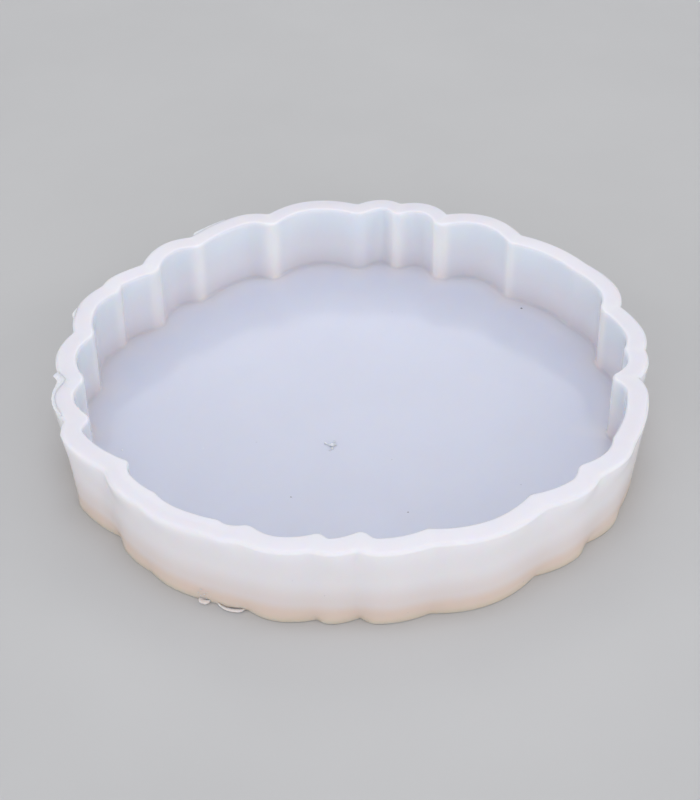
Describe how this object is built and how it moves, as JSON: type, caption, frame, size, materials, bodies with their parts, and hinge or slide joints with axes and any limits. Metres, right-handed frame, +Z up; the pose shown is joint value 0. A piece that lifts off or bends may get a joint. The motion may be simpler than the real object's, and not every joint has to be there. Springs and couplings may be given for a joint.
{
  "type": "resin casting mould",
  "caption": "Shallow round casting tray of soft translucent silicone with a flat floor and an upright scalloped wall, for casting a geode-shaped coaster in resin.",
  "frame": {"origin": "centre of the mould's outline, on the underside that it rests on", "axes": "+Z up out of the cavity, +Y to the back, +X to the right of the widest view"},
  "size_m": [0.1064, 0.1036, 0.015],
  "materials": {
    "silicone": "translucent milky white, satin outside and glossy on the cavity floor"
  },
  "bodies": {
    "root": {"mould_body": "silicone", "rim_flash_tag": "silicone", "foot_flash_left": "silicone", "foot_flash_right": "silicone"}
  },
  "joints": []
}
